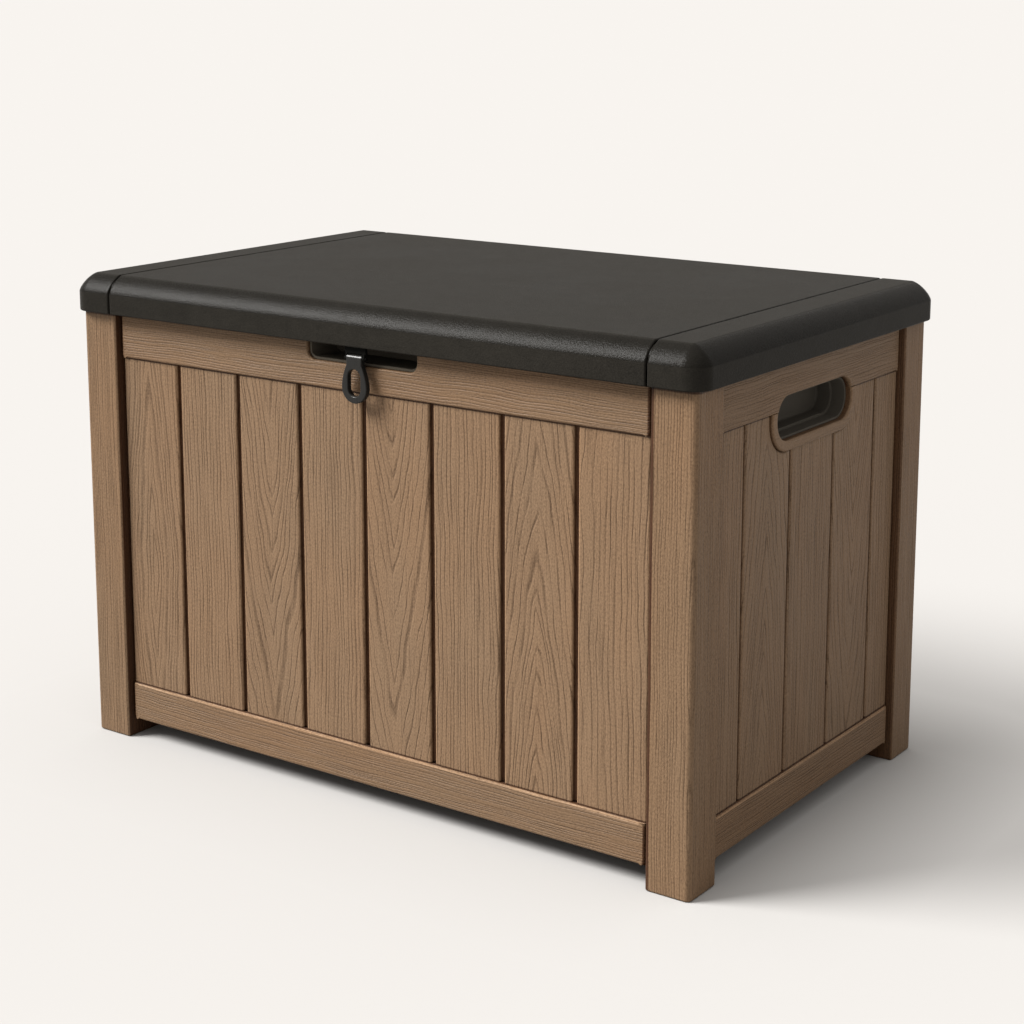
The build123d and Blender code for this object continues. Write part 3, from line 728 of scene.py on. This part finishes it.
# how each board was cut: heart across and along, slope of the cut, ring pitch
STRAIGHT_A = (-62.0, 0.0, 0.004, 4.4)
STRAIGHT_B = (70.0, 0.0, -0.004, 4.8)
FRONT_CUTS = (
    (-2.0, 185.0, 0.095, 6.0),     # closed ovals
    STRAIGHT_A,
    (2.0, 420.0, 0.150, 6.2),      # arches that point down
    STRAIGHT_B,
    (-5.0, 520.0, 0.150, 6.5),     # arches that point down, high up
    STRAIGHT_A,
    (-1.0, 40.0, 0.140, 6.0),      # arches that point up
    (38.0, 240.0, 0.030, 8.0),     # sparse and wavy
)
SIDE_CUTS = (
    STRAIGHT_B,
    (0.0, 20.0, 0.140, 6.0),
    STRAIGHT_A,
    (3.0, 440.0, 0.140, 6.2),
    STRAIGHT_B,
)


def make_boards():
    pitch = 2 * SPAN_X / len(FRONT_CUTS)
    front = [-SPAN_X + n * pitch for n in range(len(FRONT_CUTS) + 1)]
    side = [-SPAN_Y] + [(n - 1.5) * SIDE_PITCH for n in range(4)] + [SPAN_Y]
    for first, (wall, out, _, degrees) in zip((0.0, 20.0, 40.0, 60.0), WALLS):
        edges, cuts = (front, FRONT_CUTS) if out == HALF_Y else (side, SIDE_CUTS)
        for n, (left, right) in enumerate(zip(edges[:-1], edges[1:])):
            cut = None
            if wall in ("left", "right"):
                cut = {1: "right", 2: "top", 3: "left"}.get(n)
            node = f"{wall}_board_{n + 1}"
            u, w, slope, ring = cuts[(n + 3) % len(cuts)] if wall in ("back", "left") else cuts[n]
            middle = (left + right) / 2

            def axes(p, m=middle, face=-(out - BOARD_SETBACK)):
                return (p[0] - m, p[1] - face, p[2])

            def painted_shading(p, face=-(out - BOARD_SETBACK), tones=BOARD_PAINTED_SHADING[out]):
                return between(p[1] - face, tones)

            finish_piece(node + "_resin", board_mesh(out, left, right, cut), [node], "box",
                         BOARD_RESIN, degrees, Cut(axes, (u, 0.0, w), (slope, ring, first + n * 1.37), painted_shading))


# ---- hand holds and finger cup ----

def hole_outline(grow):
    wide = HOLE_HALF + grow
    return rounded_rect(-wide, wide, HOLE[0] - grow, HOLE[1] + grow, HOLE_ROUND + grow)


def rim_mesh():
    """The U-shaped rim under the hand hole, flush with the rail's face."""
    face = -(HALF_X - RAIL_SETBACK)
    top = TOP_RAIL[0]
    wide, wr = HOLE_HALF + RIM, HOLE_ROUND + RIM
    low, deep = HOLE[0] - RIM, HOLE[0]
    centre, height = HOLE_HALF - HOLE_ROUND, deep + HOLE_ROUND
    outer, inner = hole_side(RIM, top, 0, 3), hole_side(0.0, top, 0, 3)
    points = [(-x, z) for x, z in outer[:-1]] + arc((-wide + wr, low + wr), wr, 180, 270, 12)
    points += arc((wide - wr, low + wr), wr, 270, 360, 12) + outer[-2::-1] + inner[:-1]
    points += arc((centre, height), HOLE_ROUND, 360, 270, 12)
    points += arc((-centre, height), HOLE_ROUND, 270, 180, 12) + [(-x, z) for x, z in inner[-2::-1]]
    layers = [(face + RAIL_THICK, points)]
    for y, d in face_round(face, RIM_ROUND, 5):
        moved = inset(points, d)
        layers.append((y, [(x, old[1] if old[1] == top else z) for (x, z), old in zip(moved, points)]))
    return Shell().prism_y(layers).mesh("rim")


def cup_mesh():
    """The closed cup behind the hand hole: a lip, a step half way in, a rounded floor and a flange."""
    face = -(HALF_X - RAIL_SETBACK)
    back = face + RAIL_THICK
    front = face + CUP_START
    step = front + CUP_DEEP / 2
    floor = front + CUP_DEEP - 3.0
    steps = [(floor, -8.0), (floor - 0.3, -6.5), (floor - 1.2, -5.4), (floor - 2.6, -5.0), (step + 0.8, -5.0),
             (step + 0.2, -4.8), (step, -4.2), (step, -3.1), (step - 0.6, -2.5), (front + 4.4, -2.5),
             (front + 4.0, -2.1), (front + 4.0, -0.5), (front + 4.3, -0.2), (back, -0.2), (back, RIM - 1),
             (back + CUP_WALL, RIM - 1), (back + CUP_WALL, -0.2), (front + CUP_DEEP, -0.2)]
    return Shell().prism_y([(y, hole_outline(grow)) for y, grow in steps]).mesh("cup")


def notch_outline(grow, top):
    """The notch's U, open at the top, as a closed outline with a flat top."""
    r = NOTCH_ROUND + grow
    centre, height = NOTCH_HALF - NOTCH_ROUND, NOTCH_BOTTOM + NOTCH_ROUND
    points = [(-NOTCH_HALF - grow, top)] + arc((-centre, height), r, 180, 270, 6)
    return points + arc((centre, height), r, 270, 360, 6) + [(NOTCH_HALF + grow, top)]


def finger_cup_mesh():
    """The trough behind the notch: a U-shaped wall, an end wall and a flange."""
    front = -(HALF_Y - RAIL_SETBACK) + NOTCH_START
    back = front + NOTCH_DEEP - CUP_WALL
    top = BODY_TOP - 0.5
    outer, inner = notch_outline(-0.15, top), notch_outline(-CUP_WALL, top)
    wall = outer + inner[::-1]
    edge = [(y, inset(wall, d)) for y, d in face_round(front, 0.3, 2)[::-1]]
    shell = Shell().prism_y(edge + [(back - 1.0, wall)])
    shell.prism_y([(back - CUP_WALL, inner), (back, inset(outer, 0.01))])
    flange = notch_outline(NOTCH_FLANGE, top) + outer[::-1]
    rear = -(HALF_Y - RAIL_SETBACK) + RAIL_THICK
    shell.prism_y([(rear, flange), (rear + CUP_WALL, flange)])
    return shell.mesh("finger_cup")


def make_hand_holds():
    for side, degrees in (("right", 90), ("left", -90)):
        def axes(p):
            return (p[2] - HOLE[0], p[1] + HALF_X - RAIL_SETBACK, p[0])

        def painted_shading(p):
            # painted highlight on the rim's edge and painted shade into the hole
            deep = p[1] + HALF_X - RAIL_SETBACK
            return between(deep, ((0.0, 1.06), (1.0, 1.12), (RIM_ROUND, 0.7), (8.0, 0.25)))

        # rings this far apart leave the rim plain
        grain = Cut(axes, (-90.0, 30.0, 0.0), (0.0, 400.0, 50.0 + degrees / 90), painted_shading)
        finish_piece(f"handle_rim_{side}_resin", rim_mesh(), [f"handle_rim_{side}"], "box",
                     FRAME_RESIN, degrees, grain)
        finish_piece(f"handle_cup_{side}_shell", cup_mesh(), [f"handle_cup_{side}"], "box",
                     CUP_PLASTIC, degrees)
    finish_piece("finger_cup_shell", finger_cup_mesh(), ["finger_cup"], "box", NOTCH_PAINTED_LIGHT_PLASTIC)


# ---- lid ----

def lid_levels():
    """(inset, height, tilt of the normal) up the lid's outside, and the matching levels up its inside."""
    outside = []
    for n in range(4):
        a = math.radians(30 * n)
        sunk, raised = LIP_ROUND * (1 - math.sin(a)), LIP_ROUND * (1 - math.cos(a))
        outside.append((sunk, LID_LOW + raised, a - math.pi / 2))
    spring = LID_TOP - LID_ROUND
    last = math.radians(86)
    reach = 1 - math.cos(last) ** (2 / LID_BULGE), math.sin(last) ** (2 / LID_BULGE)
    for n in range(13):
        a = last * n / 12
        c, s = math.cos(a) ** (2 / LID_BULGE), math.sin(a) ** (2 / LID_BULGE)
        tilt = math.atan2(s ** (LID_BULGE - 1), c ** (LID_BULGE - 1))
        outside.append((LID_ROUND * (1 - c) / reach[0], spring + LID_ROUND * s / reach[1], tilt))
    inside = []
    thin = LID_ROUND - LID_WALL
    for n in range(4):
        a = math.radians(30 * n)
        inside.append((LID_WALL - 1.0 + math.sin(a), LID_LOW + 1.0 - math.cos(a)))
    for n in range(13):
        a = math.pi / 2 * n / 12
        inside.append((LID_WALL + thin * (1 - math.cos(a)), spring + thin * math.sin(a)))
    return outside, inside


OUTSIDE, INSIDE = lid_levels()


def panel_mesh():
    """The long middle panel: one bent section with rounded seam edges, lands and pockets for the hinges."""
    section = [(-LID_Y + i, z) for i, z, _ in OUTSIDE] + [(LID_Y - i, z) for i, z, _ in OUTSIDE[::-1]]
    section += [(LID_Y - i, z) for i, z in INSIDE] + [(-LID_Y + i, z) for i, z in INSIDE[::-1]]
    section = section[::-1]
    share = [1.0] * (2 * len(OUTSIDE)) + [0.3] * (2 * len(INSIDE))
    share = share[::-1]
    data = Shell().prism_x(rounded_bar(section, SEAM_X - SEAM_HALF, SEAM_ROUND, 4, share)).mesh("panel")
    pockets = Shell()
    for x in (-HINGE_X, HINGE_X):
        near, far = x - LEAF_HALF, x + LEAF_HALF
        pocket = [(near, LID_LOW - 2), (far, LID_LOW - 2), (far, LEAF_TOP), (near, LEAF_TOP)]
        pockets.prism_y([(LID_Y - LEAF_DEEP, pocket), (LID_Y + LEAF_DEEP, pocket)])
    data = combined(data, pockets.mesh("pockets"), "DIFFERENCE")
    lands = Shell()
    for x in (-HINGE_X, HINGE_X):
        top = LID_TOP - LID_WALL + 0.5
        land = rounded_rect(x - LAND_HALF, x + LAND_HALF, BODY_TOP + 2, top, 1.5, 2)
        layers = [(LAND_FRONT, inset(land, 0.8)), (LAND_FRONT + 0.8, land)]
        lands.prism_y(layers + [(LID_Y - LID_ROUND + 6.0, land)])
    return combined(data, lands.mesh("lands"), "UNION")


def cap_mesh():
    """The right end cap: skirt, corners and top in one shell, and a flange under the panel."""
    seam = SEAM_X + SEAM_HALF
    near = [(seam + d, e) for d, e in face_round(0.0, SEAM_ROUND, 4)[::-1]]
    corner = LID_X - LID_CORNER
    # (point on the lid's outline, inward direction, how far the seam's round sinks it)
    stations = []
    for x, sink in near + [((seam + corner) / 2, 0.0), (corner, 0.0)]:
        stations.append(((x, -LID_Y), (0.0, 1.0), sink))
    front_count = len(stations)
    for n in range(1, 11):
        a = math.radians(-90 + 9 * n)
        c, s = math.cos(a), math.sin(a)
        stations.append(((corner + LID_CORNER * c, -LID_Y + LID_CORNER + LID_CORNER * s), (-c, -s), 0.0))
    stations += [((p[0], -p[1]), (d[0], -d[1]), e) for p, d, e in stations[::-1]]
    total = len(stations)
    shell = Shell()

    def ring(levels, sinks):
        out = []
        for p, d, sink in stations:
            for level in levels:
                i, z = level[0], level[1]
                tilt = level[2] if len(level) > 2 else 0.0
                s = sink * sinks
                inward = i + s * math.cos(tilt)
                out.append((p[0] + d[0] * inward, p[1] + d[1] * inward, z - s * math.sin(tilt)))
        return out

    high = len(OUTSIDE)
    shell.verts = ring(OUTSIDE, 1.0) + ring([(i, z) for i, z in INSIDE], 0.0)
    second = total * high
    top, under = high - 1, second + high - 1
    for s in range(total - 1):
        for base in (0, second):
            for j in range(high - 1):
                a = base + s * high + j
                shell.faces.append((a, a + high, a + high + 1, a + 1))
        shell.faces.append((s * high, (s + 1) * high, second + (s + 1) * high, second + s * high))
    for base in (0, second):
        for s in range(front_count - 1):
            a, b = s * high + high - 1, (total - 1 - s) * high + high - 1
            shell.faces.append((base + a, base + a + high, base + b - high, base + b))
        rest = range(front_count - 1, total - front_count + 1)
        shell.faces.append(tuple(base + s * high + high - 1 for s in rest))
    last = (total - 1) * high
    for base in (0, last):
        for j in range(high - 1):
            a = base + j
            shell.faces.append((a, a + 1, second + a + 1, second + a))
    shell.faces.append((top, top + last, under + last, under))
    outer = [(-LID_Y + i + 0.1, z - 0.1) for i, z in INSIDE]
    outer += [(-y, z) for y, z in outer[::-1]]
    inner = [(-LID_Y + i + FLANGE_THICK, z - (FLANGE_THICK if z > LID_LOW + 5 else -0.6)) for i, z in INSIDE]
    inner += [(-y, z) for y, z in inner[::-1]]
    flange = (outer + inner[::-1])[::-1]
    shell.prism_x([(FLANGE[0], inset(flange, 0.4)), (FLANGE[0] + 0.4, flange), (FLANGE[1], flange)])
    return shell.mesh("cap")


def make_lid():
    for name, data, degrees in (("lid_panel", panel_mesh(), 0.0), ("lid_end_right", cap_mesh(), 0.0),
                                ("lid_end_left", cap_mesh(), 180.0)):
        finish_piece(name + "_shell", data, [name], "lid", LID_PLASTIC, degrees, crease=50.0)


# ---- hasp ----

def hasp_mesh():
    """The hanging tongue: a plate that widens downwards, with a long slot, rolled round its pin."""
    face = HASP_Y - HUB_R
    back = face + HASP_THICK
    shoulder = HASP_BOTTOM + HASP_HALF
    waist = HASP_HALF - HASP_NECK
    left = []
    for n in range(7):
        t = n / 7
        x = -HASP_NECK - waist * math.sin(math.pi / 2 * t)
        left.append((x, HASP_NECK_Z + (shoulder - HASP_NECK_Z) * t))
    outline = [(-HASP_NECK, HASP_Z)] + left + arc((0, shoulder), HASP_HALF, 180, 360, 28)
    outline += [(-x, z) for x, z in left[::-1]] + [(HASP_NECK, HASP_Z)]
    slot = rounded_rect(-HASP_SLOT_HALF, HASP_SLOT_HALF, *HASP_SLOT, HASP_SLOT_HALF - 0.1, 10)
    plate = Shell().holed_y(outline, slot, face, back, HASP_ROUND).mesh("plate")
    ring = arc((HASP_Y, HASP_Z), HUB_R, 0, 360, 32)[:-1]
    hub = Shell().prism_x(rounded_bar(ring, HASP_NECK, HUB_ROUND, 3)).mesh("hub")
    return combined(plate, hub, "UNION")


def bracket_mesh():
    """The angle above the hasp: an arm, a foot under the liner and two ears round the pin."""
    shell = Shell()
    low, top = HASP_Z + HUB_R + ARM_LIFT, LINER_LOW
    half = HASP_NECK + EAR_GAP + EAR
    angle = [(ARM[0], low), (ARM[1], low), (ARM[1], top - FOOT_THICK), (FOOT_BACK, top - FOOT_THICK)]
    angle += [(FOOT_BACK, top), (ARM[0], top)]
    shell.prism_x(rounded_bar(angle, half, ARM_ROUND, 3))
    ear = [(ARM[1], low + 1.0), (ARM[0], low + 1.0)] + arc((HASP_Y, HASP_Z), HUB_R - 0.8, 125, 375, 20)
    for sign in (-1, 1):
        layers = [(half - 2 * ARM_ROUND - x, inset(ear, d)) for x, d in face_round(0.0, ARM_ROUND, 2)]
        shell.prism_x([(sign * x, points) for x, points in [(HASP_NECK + EAR_GAP, ear)] + layers])
    return shell.mesh("bracket")


def make_hasp():
    finish_piece("hasp_tongue", hasp_mesh(), ["hasp"], "hasp", HASP_METAL, crease=35.0)
    finish_piece("hasp_bracket_angle", bracket_mesh(), ["hasp_bracket"], "lid", ARM_PAINTED_SHADE_METAL,
                 crease=50.0)


# ---- CAD parts that stay ----

def dress(node, material, edge=0.0):
    """Gives a CAD part its material, and softens its sharp edges by a small bevel."""
    piece = NODES[node]
    piece.data.materials.clear()
    piece.data.materials.append(material)
    if edge:
        piece.modifiers.new("weld", "WELD").merge_threshold = 0.00001
        bevel = piece.modifiers.new("edge", "BEVEL")
        bevel.width, bevel.segments, bevel.limit_method = edge * MM, 2, "ANGLE"
        bevel.angle_limit = math.radians(50)
        bevel.use_clamp_overlap = True
        shade = piece.modifiers.new("normals", "WEIGHTED_NORMAL")
        shade.keep_sharp = False


def dress_cad():
    dress("floor_panel", floor_resin(), 0.6)
    dress("lid_liner", LINER_PLASTIC, 0.6)
    for side in ("left", "right"):
        dress(f"hinge_{side}_body_leaf", HINGE_METAL, 0.25)
        dress(f"hinge_{side}_lid_leaf", HINGE_METAL, 0.25)
        dress(f"hinge_{side}_pin", STEEL, 0.25)
    dress("hinge_body_screws", STEEL)
    dress("hinge_lid_screws", STEEL)
    dress("bracket_screws", STEEL)
    # the hasp pin takes the darker painted-shade copy of the hasp's metal
    dress("hasp_pin", ARM_PAINTED_SHADE_METAL, 0.2)


# ---- studio ----

SKY = Vector((0.940, 0.905, 0.865))
KEY, KEY_COLOUR, KEY_FROM, KEY_SPREAD = 9.4, Vector((1.0, 0.985, 0.96)), Vector((-0.61, -0.475, 0.685)), 27
TOP, TOP_COLOUR, TOP_SPREAD = 0.5, Vector((1.0, 0.99, 0.97)), 60
# painted light: the share of the floor's light that is its own glow, though the floor is no lamp, and how far
# from the box (in metres) it is in full; nearer the box it fades, which leaves a painted shade there
FLOOR_PAINTED_LIGHT, FLOOR_PAINTED_LIGHT_REACH = 0.36, 0.16
GROUND_REACH = 60.0
TURN, LIFT = 35.47, 10.49           # of the camera, in degrees
EYE, LENS, SHIFT = (1.1911, -1.6493, 0.7836), 72.38, -0.155


def lamp(name, energy, colour, toward, spread):
    data = bpy.data.lights.new(name, "SUN")
    data.energy, data.color, data.angle = energy, colour, math.radians(spread)
    light = bpy.data.objects.new(name, data)
    light.rotation_euler = toward.to_track_quat("Z", "Y").to_euler()
    bpy.context.scene.collection.objects.link(light)


def studio():
    """A pale floor that runs out to a pale sky, light from all round and a broad key from the upper left."""
    data = bpy.data.meshes.new("ground")
    r = GROUND_REACH
    data.from_pydata([(-r, -r, 0), (r, -r, 0), (r, r, 0), (-r, r, 0)], [], [(0, 1, 2, 3)])
    floor = bpy.data.objects.new("ground", data)
    bpy.context.scene.collection.objects.link(floor)
    # the floor's own colour is the one that the lights bring up to the sky's, so no horizon shows;
    # painted light: a glow, though the floor is no lamp, lifts the floor's shadows, and fades out near and
    # under the box, which leaves painted shade there
    toward = KEY_FROM.normalized()
    lit = [s + (KEY * toward.z * k + TOP * t) / math.pi for s, k, t in zip(SKY, KEY_COLOUR, TOP_COLOUR)]
    pale = tuple(s / l for s, l in zip(SKY, lit))
    g = Graph("ground")
    tree = g.tree
    x, y, _ = g.split(g.add("ShaderNodeTexCoord", out="Object"))
    past = [g.math("MAXIMUM", g.minus(g.math("ABSOLUTE", v), half * MM), 0.0)
            for v, half in ((x, HALF_X), (y, HALF_Y))]
    away = g.math("SQRT", g.plus(*[g.times(v, v) for v in past]))
    share = g.times(g.ramp(g.over(away, FLOOR_PAINTED_LIGHT_REACH), ((0.0, 0.0), (1.0, 1.0))), FLOOR_PAINTED_LIGHT)
    diffuse = tree.nodes.new("ShaderNodeBsdfDiffuse")
    g.put(diffuse.inputs[0], g.mix(share, pale, (0.0, 0.0, 0.0)))
    painted_floor_light = tree.nodes.new("ShaderNodeEmission")
    painted_floor_light.inputs[0].default_value = (*SKY, 1)
    g.put(painted_floor_light.inputs[1], share)
    both = tree.nodes.new("ShaderNodeAddShader")
    out = tree.nodes.new("ShaderNodeOutputMaterial")
    tree.links.new(diffuse.outputs[0], both.inputs[0])
    tree.links.new(painted_floor_light.outputs[0], both.inputs[1])
    tree.links.new(both.outputs[0], out.inputs[0])
    data.materials.append(g.material)

    world = bpy.data.worlds.new("sky")
    world.use_nodes = True
    world.node_tree.nodes["Background"].inputs[0].default_value = (*SKY, 1)
    world.node_tree.nodes["Background"].inputs[1].default_value = 1.0
    bpy.context.scene.world = world

    lamp("key", KEY, KEY_COLOUR, toward, KEY_SPREAD)
    lamp("top", TOP, TOP_COLOUR, Vector((0, 0, 1)), TOP_SPREAD)
    bpy.context.scene.view_settings.view_transform = "Standard"
    bpy.context.scene.view_settings.look = "None"


def camera():
    """A camera a little above the lid, off the near right corner."""
    turn, lift = math.radians(TURN), math.radians(LIFT)
    back = Vector((math.sin(turn) * math.cos(lift), -math.cos(turn) * math.cos(lift), math.sin(lift)))
    data = bpy.data.cameras.new("camera")
    data.sensor_width = 36.0
    data.lens = LENS
    data.shift_y = SHIFT
    data.clip_end = 300.0
    eye = bpy.data.objects.new("camera", data)
    eye.location = EYE
    eye.rotation_euler = back.to_track_quat("Z", "Y").to_euler()
    bpy.context.scene.collection.objects.link(eye)
    bpy.context.scene.camera = eye


make_posts()
make_rails()
make_boards()
make_hand_holds()
make_lid()
make_hasp()
dress_cad()
studio()
camera()
